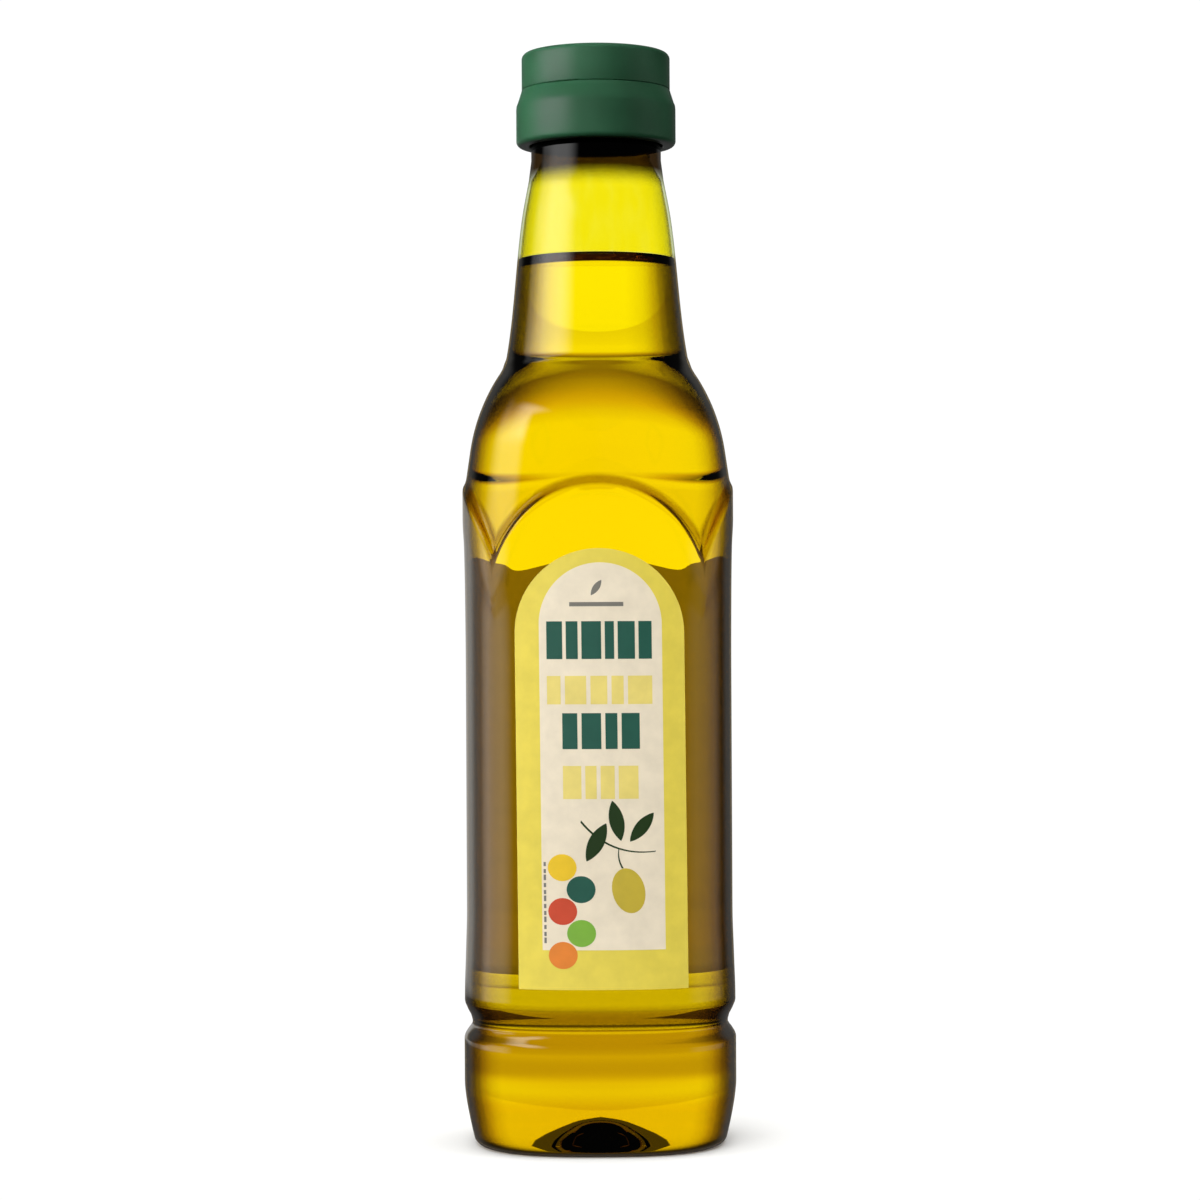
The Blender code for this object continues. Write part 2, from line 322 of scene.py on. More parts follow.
@dataclass(frozen=True)
class OliveOil:
    """Filtered olive oil: clear, golden, and deeper in colour the more of it light crosses.

    Blue is gone after a few millimetres, green fades over centimetres and red hardly at all.
    slants gives the red and the green that the surface lets through at each slant of the view:
    painted shade that darkens the oil towards its edges, standing in for the dark room seen there.
    shifts moves it by height, so that the painted shade reaches further in over the shoulder and
    the neck, a little further on the body and least on the lower dome.
    """

    ior: float = 1.468
    density: float = 250.0
    colour: tuple[float, float, float, float] = (0.99878, 0.97764, 0.0, 1.0)
    offset: float = 0.12
    # Painted shade: the oil's colour darkens towards its edges.
    slants: tuple[tuple[float, float, float], ...] = (
        (0.25, 1.0, 1.0),
        (0.35, 0.74, 0.68),
        (0.45, 0.36, 0.27),
        (0.55, 0.10, 0.065),
        (0.65, 0.028, 0.018),
        (0.78, 0.012, 0.008),
    )
    shifts: tuple[tuple[float, float], ...] = (
        (130 * MM, 0.12),
        (146 * MM, 0.0),
        (156 * MM, 0.0),
        (162 * MM, 0.22),
        (177 * MM, 0.29),
    )
    height: float = 200 * MM

    def material(self) -> Material:
        """Builds the oil's material: a smooth refracting surface round an absorbing volume.

        Returns:
            The material.
        """
        made, add = new_material("filtered_olive_oil")
        place = add("TexCoord").outputs["Object"]
        height = add("SeparateXYZ", {0: place}).outputs["Z"]
        upright = add("Math", {0: height, 1: self.height}, operation="DIVIDE")
        shift = ramp_stops(add("ValToRGB", {0: upright}), self.shifts, span=self.height)
        # Painted shade on the oil's surface, by the slant of the view and by height.
        facing = add("LayerWeight", {"Blend": 0.5}).outputs["Facing"]
        slant = add("Math", {0: facing, 1: shift}, operation="ADD")
        stops = [(at + self.offset, (red, green, green, 1.0)) for at, red, green in self.slants]
        tint = ramp_stops(add("ValToRGB", {0: slant}), stops)
        smooth = {"Roughness": 0.0, "IOR": self.ior, "Transmission Weight": 1.0}
        surface = add("BsdfPrincipled", {"Base Color": tint, **smooth})
        volume = add("VolumeAbsorption", {"Color": self.colour, "Density": self.density})
        add("OutputMaterial", {"Surface": surface, "Volume": volume})
        return made


@dataclass(frozen=True)
class OilFilm:
    """Oil that clings to the neck's wall above the level and runs down in faint streaks."""

    thin: str = "fffdb6"
    full: str = "fffc8c"
    streak: float = 2.2 * MM
    run: float = 0.25
    ior: float = 1.468
    roughness: float = 0.08

    def material(self) -> Material:
        """Builds the film's material: a glossy, clear yellow tint, uneven along upright streaks.

        Returns:
            The material.
        """
        made, add = new_material("oil_film_on_pet")
        place = add("TexCoord").outputs["Object"]
        upright = add("Mapping", {"Vector": place, "Scale": (1, 1, self.run)})
        streaks = add("TexNoise", {"Vector": upright, "Scale": 1 / self.streak, "Detail": 2.0})
        tint = ramp_stops(add("ValToRGB", {0: streaks}), [(0.25, self.thin), (0.6, self.full)])
        clear = add("BsdfTransparent", {"Color": tint})
        film = gloss_outside(add, clear, clear, self.ior, {"Roughness": self.roughness})
        add("OutputMaterial", {"Surface": film})
        return made


@dataclass(frozen=True)
class MouldedPolypropylene:
    """Dark green polypropylene, injection moulded in a fine spark-eroded mould.

    It gives a satin sheen: a broad soft highlight, broken by a grain too fine to count.
    """

    colour: str = "1e432d"
    shade: str = "193a26"
    roughness: float = 0.36
    wander: float = 0.05
    ior: float = 1.49
    grain: float = 0.35 * MM
    grain_height: float = 0.012 * MM
    cloud: float = 11 * MM

    def material(self) -> Material:
        """Builds the closure's material.

        Returns:
            The material.
        """
        made, add = new_material("moulded_polypropylene_green")
        place = add("TexCoord").outputs["Object"]
        cloud = add("TexNoise", {"Vector": place, "Scale": 1 / self.cloud, "Detail": 2.0})
        colour = ramp_stops(add("ValToRGB", {0: cloud}), [(0.3, self.shade), (0.7, self.colour)])
        low, high = self.roughness - self.wander, self.roughness + self.wander
        sheen = add("MapRange", {"Value": cloud, "To Min": low, "To Max": high})
        grain = relief(add, place, self.grain, self.grain_height)
        finish = {"Roughness": sheen, "Normal": grain, "IOR": self.ior}
        add("OutputMaterial", {"Surface": add("BsdfPrincipled", {"Base Color": colour, **finish})})
        return made


@dataclass(frozen=True)
class CoatedPaper:
    """Coated label paper under one even ink: smooth, with fibres that just lift the varnish.

    The ink lies a little unevenly over the fibres, so its colour is never quite flat.
    """

    name: str
    colour: str
    roughness: float = 0.42
    ior: float = 1.5
    fibre: float = 0.5 * MM
    fibre_height: float = 0.006 * MM
    mottle: float = 3.5 * MM
    unevenness: float = 0.05
    painted_glow: float = 0.0

    def material(self) -> Material:
        """Builds the paper's or the ink's material.

        Returns:
            The material.
        """
        made, add = new_material(self.name)
        place = add("TexCoord").outputs["Object"]
        mottle = add("TexNoise", {"Vector": place, "Scale": 1 / self.mottle, "Detail": 5.0})
        evened = {"To Min": 1 - self.unevenness, "To Max": 1 + self.unevenness}
        value = add("MapRange", {"Value": mottle, "From Min": 0.3, "From Max": 0.7, **evened})
        inputs = {
            "Base Color": add("HueSaturation", {"Color": linear(self.colour), "Value": value}),
            "Roughness": self.roughness,
            "Normal": relief(add, place, self.fibre, self.fibre_height, Detail=3.0, Distortion=0.6),
            "IOR": self.ior,
            # A painted glow in the paper's own colour, none unless its strength is set.
            "Emission Color": linear(self.colour),
            "Emission Strength": self.painted_glow,
        }
        add("OutputMaterial", {"Surface": add("BsdfPrincipled", inputs)})
        return made


@dataclass(frozen=True)
class StudioPaper:
    """Matt white paper, so far lit that it fades into the white behind.

    What shows through the bottle, which bends the view down, is a painted glow by the distance
    from the axis: a painted shadow of the bottle, then painted lit paper, a painted dim ring and
    the bright studio beyond: under gives its red and green for each distance. Seen at a low
    angle, from the bottle's foot, the dim ring is hidden by a painted sheen.
    """

    colour: str = "f0f0ee"
    tooth: float = 1.5 * MM
    tooth_height: float = 0.05 * MM
    fade_from: float = 0.032
    fade_to: float = 0.085
    white: float = 1.03
    # Painted shadow and light by distance from the axis, for what shows through the bottle.
    under: tuple[tuple[float, float, float], ...] = (
        (0.028, 0.02, 0.012),
        (0.05, 0.50, 0.37),
        (0.15, 0.55, 0.43),
        (0.20, 0.82, 0.70),
        (0.26, 0.98, 0.95),
        (0.30, 0.92, 0.90),
        (0.35, 0.31, 0.235),
        (0.40, 0.38, 0.29),
        (0.46, 0.49, 0.375),
        (0.52, 0.62, 0.46),
        (0.60, 0.75, 0.58),
        (0.73, 0.88, 0.80),
        (0.90, 1.0, 0.96),
    )
    under_strength: float = 1.06
    # Painted sheen at grazing views, which hides the dim ring.
    sheen: str = "f4ede4"
    painted_sheen_slants: tuple[float, float] = (0.9, 0.96)
    # A faint glow that stands in for the light that the paper casts back up.
    bounced: float = 0.04

    def material(self) -> Material:
        """Builds the floor's material.

        Returns:
            The material.
        """
        made, add = new_material("studio_paper_white")
        place = add("TexCoord").outputs["Object"]
        reach = add("VectorMath", {0: place}, operation="LENGTH").outputs["Value"]
        tooth = relief(add, place, self.tooth, self.tooth_height, strength=0.3)
        matt = add("BsdfDiffuse", {"Color": linear(self.colour), "Normal": tooth})
        fade = {"Value": reach, "From Min": self.fade_from, "From Max": self.fade_to}
        glow = add("Emission", {"Strength": self.white})
        seen = add("MixShader", {0: add("MapRange", fade, **SMOOTH), 1: matt, 2: glow})
        # Painted shadow and light: dark in the bottle's own shade, then lit paper, a dim ring and
        # the bright studio.
        stops = [(at, (red, green, green * green, 1.0)) for at, red, green in self.under]
        through = ramp_stops(add("ValToRGB", {0: reach}), stops)
        facing = add("LayerWeight", {"Blend": 0.5}).outputs["Facing"]
        low, high = self.painted_sheen_slants
        grazing = add("MapRange", {"Value": facing, "From Min": low, "From Max": high}, **SMOOTH)
        shown = add("Mix", {0: grazing, 6: through, 7: linear(self.sheen)}, data_type="RGBA")
        ray = add("LightPath").outputs
        # Seen other than by the camera the paper is a glow: painted light and shadow through the
        # bottle, and a faint painted bounce of light.
        lights = {2: self.bounced, 3: self.under_strength}
        strength = add("Mix", {0: ray["Is Transmission Ray"], **lights})
        unseen = add("Emission", {"Color": shown.outputs[2], "Strength": strength})
        both = add("MixShader", {0: ray["Is Camera Ray"], 1: unseen, 2: seen})
        add("OutputMaterial", {"Surface": both})
        return made


@dataclass(frozen=True)
class Ring:
    """One ring of a turned piece: its height and its half-width at the middle of a face.

    square goes from 0, round, to 1, the body's full squareness. drop is the share of the arch's
    fall towards the corners that the ring follows. dome is the share taken by the round dome, or
    by its inner face, inset inside. inner marks the rings that the inside of the wall repeats.
    """

    z: float
    half: float
    square: float = 0.0
    drop: float = 0.0
    dome: float = 0.0
    inset: float = 0.0
    inner: bool = True


def easing_slopes(reach: list[float], values: list[float]) -> list[float]:
    """Slopes of the monotone cubic through some values, so that a curve never overshoots.

    Args:
        reach: Distance along the curve of each value.
        values: The values.

    Returns:
        The slope at each value.
    """
    steps = [
        (after - before) / max(far - near, 1e-9)
        for before, after, near, far in zip(values, values[1:], reach, reach[1:])
    ]
    slopes = [steps[0]]
    for before, after in zip(steps, steps[1:]):
        slopes.append(2 * before * after / (before + after) if before * after > 0 else 0.0)
    return slopes + [steps[-1]]


def eased(keys: list[Ring], pitch: float, fewest: int = 3) -> list[Ring]:
    """Fills the space between key rings with rings on a smooth curve through them.

    Args:
        keys: The rings that the curve passes through.
        pitch: Largest distance between two rings.
        fewest: Least number of steps between two key rings.

    Returns:
        All rings, in order.
    """
    names = ("z", "half", "square", "drop", "dome", "inset")
    reach = [0.0]
    for low, high in zip(keys, keys[1:]):
        reach.append(reach[-1] + math.hypot(high.z - low.z, high.half - low.half))
    slopes = {name: easing_slopes(reach, [getattr(key, name) for key in keys]) for name in names}
    rings = []
    for index, (low, high) in enumerate(zip(keys, keys[1:])):
        span = reach[index + 1] - reach[index]
        steps = max(fewest, math.ceil(span / pitch))
        for t in (step / steps for step in range(steps)):
            mixed = {}
            for name in names:
                leave, arrive = slopes[name][index] * span, slopes[name][index + 1] * span
                mixed[name] = (
                    (1 + 2 * t) * (1 - t) ** 2 * getattr(low, name)
                    + t * (1 - t) ** 2 * leave
                    + t * t * (3 - 2 * t) * getattr(high, name)
                    + t * t * (t - 1) * arrive
                )
            rings.append(Ring(**mixed))
    return rings + [keys[-1]]


def quarter_round(half: float, z: float, radius: float, start: float, steps: int) -> list[Ring]:
    """Rings on a quarter circle of a section, turning clockwise.

    Args:
        half: Distance of the circle's centre from the axis.
        z: Height of the circle's centre.
        radius: Radius of the circle.
        start: Angle of the first ring, anticlockwise from straight out.
        steps: Number of steps round the quarter.

    Returns:
        The rings, from the first to the last.
    """
    turns = [start - math.pi / 2 * step / steps for step in range(steps + 1)]
    return [Ring(z + radius * math.sin(turn), half + radius * math.cos(turn)) for turn in turns]


def finished(name: str, shape: BMesh, sharp: float = 50.0) -> Object:
    """Puts a shape into the scene as an object at the origin, shaded smooth.

    Args:
        name: Name of the piece.
        shape: The shape, which is freed.
        sharp: Angle in degrees from which an edge stays sharp.

    Returns:
        The new object.
    """
    mesh = bpy.data.meshes.new(name)
    shape.to_mesh(mesh)
    shape.free()
    mesh.shade_smooth()
    mesh.set_sharp_from_angle(angle=math.radians(sharp))
    piece = bpy.data.objects.new(name, mesh)
    bpy.context.scene.collection.objects.link(piece)
    return piece


def turned(
    rings: list[Ring], columns: int, closed: bool, place: Callable[[Ring, float], Point]
) -> BMesh:
    """Spins a profile about the axis and then puts each of its rings where it belongs.

    Args:
        rings: The profile. An open one starts and ends on the axis.
        columns: Number of facets round the axis.
        closed: Whether the profile is the closed section of a ring.
        place: Gives the point of a ring at an angle.

    Returns:
        The closed shape, with its faces pointing out. Its "row" layer numbers the rings.
    """
    shape = bmesh.new()
    layer = shape.verts.layers.int.new("row")
    profile = []
    for index, ring in enumerate(rings):
        vertex = shape.verts.new((ring.half, 0, ring.z))
        vertex[layer] = index
        profile.append(vertex)
    last = len(profile) if closed else len(profile) - 1
    edges = [shape.edges.new((profile[i], profile[(i + 1) % len(profile)])) for i in range(last)]
    round_axis = {"cent": (0, 0, 0), "axis": (0, 0, 1), "angle": math.tau, "use_merge": True}
    bmesh.ops.spin(shape, geom=profile + edges, steps=columns, **round_axis)
    for vertex in shape.verts:
        vertex.co = place(rings[vertex[layer]], math.atan2(vertex.co.y, vertex.co.x))
    bmesh.ops.remove_doubles(shape, verts=shape.verts, dist=1e-6)
    bmesh.ops.recalc_face_normals(shape, faces=shape.faces)
    return shape


def dressed(piece: Object, slot: Slot, materials: list[Material], node: str = "") -> Object:
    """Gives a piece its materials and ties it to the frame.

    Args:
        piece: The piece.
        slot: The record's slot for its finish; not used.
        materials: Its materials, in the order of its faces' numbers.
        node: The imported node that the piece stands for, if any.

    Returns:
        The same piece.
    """
    for material in materials:
        piece.data.materials.append(material)
    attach(piece, BODY)
    if node:
        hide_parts(node)
    logger.info("%s: %d faces", piece.name, len(piece.data.polygons))
    return piece


@dataclass(frozen=True)
class BottleForm:
    """The bottle's outline: a squarish body with four arched panels under a round dome."""

    square_power: float = 2.6
    wall: float = 0.6 * MM
    panel_half: float = 29.5 * MM
    rim_half: float = 30.05 * MM
    base_half: float = 30.15 * MM
    punt_radius: float = 19.7 * MM
    punt_rise: float = 7.5 * MM
    ring_half: float = 25.8 * MM
    heel_round: float = 2.5 * MM
    heel_height: float = 13.9 * MM
    waist_z: float = 26.7 * MM
    waist_depth: float = 1.8 * MM
    waist_upper_reach: float = 5.2 * MM
    waist_lower_reach: float = 3.25 * MM
    panel_foot_z: float = 51.9 * MM
    panel_head_z: float = 105.6 * MM
    arch_rim_z: float = 138.3 * MM
    arch_top: float = 145.75 * MM
    arch_radius: float = 24.5 * MM
    dome_centre_z: float = 147.25 * MM
    dome_centre_r: float = -12.95 * MM
    dome_radius: float = 41.75 * MM
    dome_foot_slope: float = 0.15
    dome_rise: float = 23.0 * MM
    neck_foot: tuple[float, float] = (174.25 * MM, 20.15 * MM)
    neck_bend: tuple[float, float] = (204.85 * MM, 16.6 * MM)
    neck_top: tuple[float, float] = (213.6 * MM, 15.0 * MM)
    collar_half: float = 14.45 * MM
    collar_foot_z: float = 217.9 * MM
    collar_top_z: float = 228.95 * MM
    finish_half: float = 13.35 * MM
    lip_z: float = 239.4 * MM
    lip_round: float = 0.5 * MM
    bore_half: float = 11.9 * MM
    pitch: float = 1.5 * MM

    def plan(self, angle: float, square: float) -> float:
        """Distance from the axis to a superellipse of half-width 1."""
        power = 2 + (self.square_power - 2) * square
        return (abs(math.cos(angle)) ** power + abs(math.sin(angle)) ** power) ** (-1 / power)

    def arch_fall(self, angle: float) -> float:
        """How far the arch line lies below its top at this angle round the bottle.

        Args:
            angle: Angle round the bottle.

        Returns:
            The fall.
        """
        quarter = math.pi / 2
        from_face = (angle + quarter / 2) % quarter - quarter / 2
        across = self.rim_half * self.plan(from_face, 1) * math.sin(from_face)
        return self.arch_radius - math.sqrt(self.arch_radius**2 - across**2)

    def dome_half(self, z: float, inset: float = 0.0) -> float:
        """Radius of the dome, or of its inner face a given distance inside.

        Args:
            z: Height.
            inset: Distance inside the outer face.

        Returns:
            The radius.
        """
        lean = math.atan(self.dome_foot_slope)
        radius = self.dome_radius - inset
        foot_z = self.dome_centre_z + radius * math.sin(lean)
        if z < foot_z:
            foot_half = self.dome_centre_r + radius * math.cos(lean)
            return foot_half + (foot_z - z) * self.dome_foot_slope
        return self.dome_centre_r + math.sqrt(radius**2 - (z - self.dome_centre_z) ** 2)

    def place(self, ring: Ring, angle: float) -> Point:
        """The point of a ring at an angle round the axis.

        Args:
            ring: The ring.
            angle: The angle.

        Returns:
            The point.
        """
        z = ring.z - ring.drop * self.arch_fall(angle)
        radius = ring.half * self.plan(angle, ring.square)
        if ring.dome:
            radius += ring.dome * (self.dome_half(z, ring.inset) - radius)
        return radius * math.cos(angle), radius * math.sin(angle), z

    def punt_rings(self) -> list[Ring]:
        """The bell-shaped push-up, from the axis to the standing ring.

        Returns:
            The rings.
        """
        rings = []
        for share in (0.0, 0.2, 0.4, 0.6, 0.8):
            rise = self.punt_rise * (1 + math.cos(math.pi * share)) / 2
            rings.append(Ring(rise, self.punt_radius * share, inner=share != 0.6))
        return rings

    def base_rings(self) -> list[Ring]:
        """The flat standing ring, its tight corner and the heel that leans out above it.

        Returns:
            The rings.
        """
        rings = [Ring(0, self.punt_radius), Ring(0, self.ring_half, square=1)]
        steps = 3
        for step in range(1, steps + 1):
            turn = math.pi / 2 * step / steps
            half = self.ring_half + self.heel_round * math.sin(turn)
            z = self.heel_round * (1 - math.cos(turn))
            rings.append(Ring(z, half, square=1, inner=step == 2))
        lean = self.base_half - self.ring_half - self.heel_round
        for share in (0.5, 0.75, 1.0):
            z = self.heel_round + (self.heel_height - self.heel_round) * share
            half = self.base_half - lean * (1 - share) ** 1.5
            rings.append(Ring(z, half, square=1, inner=share != 0.75))
        return rings

    def waist_rings(self) -> list[Ring]:
        """The groove round the bottle below the panels: a V whose three bends are eased.

        Returns:
            The rings.
        """
        rings = []
        bends = ((-1, 0), (-0.88, 0.06), (-0.14, 0.94), (0, 1), (0.14, 0.94), (0.88, 0.06), (1, 0))
        for share, depth in bends:
            reach = self.waist_upper_reach if share > 0 else self.waist_lower_reach
            half = (self.rim_half if share > 0 else self.base_half) - self.waist_depth * depth
            z = self.waist_z + reach * share
            rings.append(Ring(z, half, square=1, inner=abs(share) in (0, 1)))
        return rings

    def panel_rings(self) -> list[Ring]:
        """The recessed label panels, from the lower rim to the step at the arch.

        Returns:
            The rings.
        """
        ease_z = (self.waist_z + self.waist_upper_reach + self.panel_foot_z) / 2
        rings = [
            Ring(ease_z, (self.panel_half + self.rim_half) / 2, square=1),
            Ring(self.panel_foot_z, self.panel_half, square=1),
        ]
        for share, proud, drop in ((0, 0, 0.15), (0.53, 0.2, 0.55), (0.82, 0.5, 0.9), (1, 1, 1)):
            z = self.panel_head_z + (self.arch_rim_z - self.panel_head_z) * share
            half = self.panel_half + (self.rim_half - self.panel_half) * proud
            rings.append(Ring(z, half, square=1, drop=drop, inner=share != 0.82))
        for below, dome in ((1.45 * MM, 0), (0.5 * MM, 0.15), (-0.65 * MM, 0.85)):
            z = self.arch_top - below
            rings.append(Ring(z, self.rim_half, square=1, drop=1, dome=dome, inner=not dome))
        return rings

    def dome_rings(self) -> list[Ring]:
        """The round dome: its rings even out from the arch line to level ones.

        Returns:
            The rings.
        """
        rings = []
        shares = (0.08, 0.23, 0.38, 0.52, 0.66, 0.79, 0.9, 1)
        drops = (1, 0.85, 0.6, 0.33, 0.12, 0, 0, 0)
        for index, (share, drop) in enumerate(zip(shares, drops)):
            z = self.arch_top + self.dome_rise * share
            rings.append(Ring(z, self.dome_half(z), drop=drop, dome=1, inner=index % 2 == 0))
        return rings

    def neck_rings(self) -> list[Ring]:
        """The hollow bend out of the dome and the tapering neck up to the collar.

        Returns:
            The rings.
        """
        foot_z, foot_half = self.neck_foot
        bend = foot_z - self.arch_top - self.dome_rise
        low_z = foot_z - bend / 2
        return [
            Ring(low_z, self.dome_half(low_z) + 0.1 * MM),
            Ring(foot_z - bend / 4, foot_half + 0.5 * MM, inner=False),
            Ring(foot_z, foot_half),
            Ring(*self.neck_bend),
            Ring(*self.neck_top),
        ]

    def wall_rings(self) -> list[Ring]:
        """Key rings of the outer wall, from the standing ring to the top of the neck."""
        wall = self.base_rings() + self.waist_rings() + self.panel_rings()
        return wall + self.dome_rings() + self.neck_rings()

    def finish_rings(self) -> list[Ring]:
        """Collar, finish, lip and bore, from outside to inside.

        Returns:
            The rings.
        """
        step = self.collar_half - self.finish_half
        return [
            Ring(self.collar_foot_z, self.collar_half),
            Ring(self.collar_top_z, self.collar_half),
            Ring(self.collar_top_z + step, self.finish_half),
            Ring(self.lip_z - self.lip_round, self.finish_half),
            Ring(self.lip_z, self.finish_half - self.lip_round),
            Ring(self.lip_z, self.bore_half + self.lip_round),
            Ring(self.lip_z - self.lip_round, self.bore_half),
            Ring(self.collar_foot_z, self.bore_half),
        ]

    def inset_rings(self, distance: float, every: tuple[float, float] = (0.0, 0.0)) -> list[Ring]:
        """Rings of the wall's inner side, or of any face a distance inside the outer one.

        Args:
            distance: How far inside, across the profile's own slope.
            every: Between these heights it follows every bend of the outer side, elsewhere just
                the inner side's own.

        Returns:
            Fine rings from the push-up's top to the top of the neck.
        """
        rings = self.punt_rings() + self.wall_rings()
        kept = [ring for ring in rings if ring.inner or every[0] < ring.z < every[1]]
        moved = []
        for index, ring in enumerate(kept):
            before, after = kept[max(index - 1, 0)], kept[min(index + 1, len(kept) - 1)]
            along_z, along_half = after.z - before.z, after.half - before.half
            length = math.hypot(along_z, along_half)
            if ring.half == 0:
                moved.append(replace(ring, z=ring.z + distance))
            elif ring.dome or ring.drop:
                moved.append(replace(ring, half=ring.half - distance, inset=distance))
            else:
                z = ring.z + distance * along_half / length
                moved.append(replace(ring, z=z, half=ring.half - distance * along_z / length))
        return eased(moved, self.pitch)

    def outer_rings(self) -> list[Ring]:
        """Fine rings of the outer wall, from the push-up's top to the top of the neck."""
        return eased(self.punt_rings() + self.wall_rings(), self.pitch)


@dataclass
class BottleShell:
    """The clear bottle: one wall with an open mouth."""

    form: BottleForm
    columns: int = 160

    def mesh(self) -> BMesh:
        """Turns the wall. Faces number 0 is its outer side, number 1 its inner side.

        Returns:
            The closed shape.
        """
        outside = self.form.outer_rings() + self.form.finish_rings()
        rings = outside + self.form.inset_rings(self.form.wall)[::-1]
        shape = turned(rings, self.columns, closed=False, place=self.form.place)
        layer = shape.verts.layers.int["row"]
        for face in shape.faces:
            first = min(vertex[layer] for vertex in face.verts)
            face.material_index = int(first >= len(outside) - 2)
        return shape

    def build(self) -> Object:
        """Builds and dresses the bottle.

        Returns:
            The piece.
        """
        piece = finished("clear_bottle", self.mesh())
        materials = [BlownPet().material(), InnerPet().material()]
        return dressed(piece, Slot.PET, materials, "bottle")


@dataclass
class OilBody:
    """The oil: all of the inside up to a level surface, which creeps up a little at the wall."""

    form: BottleForm
    level: float = 194.0 * MM
    creep: float = 2.0 * MM
    creep_reach: float = 3.6 * MM
    creep_power: float = 2.2
    bite: float = 0.25 * MM
    bends: tuple[float, float] = (20 * MM, 130 * MM)
    columns: int = 160

    def mesh(self) -> BMesh:
        """Turns the oil, a hair into the wall so that no air shows between them.

        Returns:
            The closed shape.
        """
        inside = self.form.inset_rings(self.form.wall - self.bite, every=self.bends)
        edge_z = self.level + self.creep
        below = [ring for ring in inside if ring.z < edge_z]
        foot, top = below[-1], inside[len(below)]
        share = (edge_z - foot.z) / (top.z - foot.z)
        half = foot.half + (top.half - foot.half) * share
        steps = 8
        surface = []
        for inward in (step / steps for step in range(steps + 1)):
            lift = self.creep * (1 - inward) ** self.creep_power
            surface.append(Ring(self.level + lift, half - self.creep_reach * inward))
        for step in range(1, steps + 1):
            surface.append(Ring(self.level, (half - self.creep_reach) * (1 - step / steps)))
        return turned(below + surface, self.columns, closed=False, place=self.form.place)

    def build(self) -> Object:
        """Builds and dresses the oil."""
        piece = finished("olive_oil", self.mesh(), sharp=70)
        return dressed(piece, Slot.OIL, [OliveOil().material()], "oil")


@dataclass
class ClingingFilm:
    """The film of oil on the neck's wall above the level."""

    form: BottleForm
    foot: float = 196.25 * MM
    head: float = 223.0 * MM
    thick: float = 0.25 * MM
    bite: float = 0.03 * MM
    columns: int = 128

    def mesh(self) -> BMesh:
        """Turns the film as a thin sleeve that tapers off at its upper edge.

        Returns:
            The closed shape.
        """
        inside = self.form.inset_rings(self.form.wall - self.bite)
        outer = [ring for ring in inside if ring.z > self.foot]
        first = inside[len(inside) - len(outer) - 1]
        share = (self.foot - first.z) / (outer[0].z - first.z)
        outer.insert(0, Ring(self.foot, first.half + (outer[0].half - first.half) * share))
        bore = self.form.bore_half + self.bite
        outer += [Ring(self.form.collar_foot_z, bore), Ring(self.head, bore)]
        inner = []
        for ring in outer:
            fade = 0.2 + 0.8 * (self.head - ring.z) / (self.head - self.foot)
            inner.append(replace(ring, half=ring.half - self.bite - self.thick * fade))
        return turned(outer + inner[::-1], self.columns, closed=True, place=self.form.place)

    def build(self) -> Object:
        """Builds and dresses the film."""
        return dressed(finished("oil_film", self.mesh()), Slot.OIL, [OilFilm().material()])


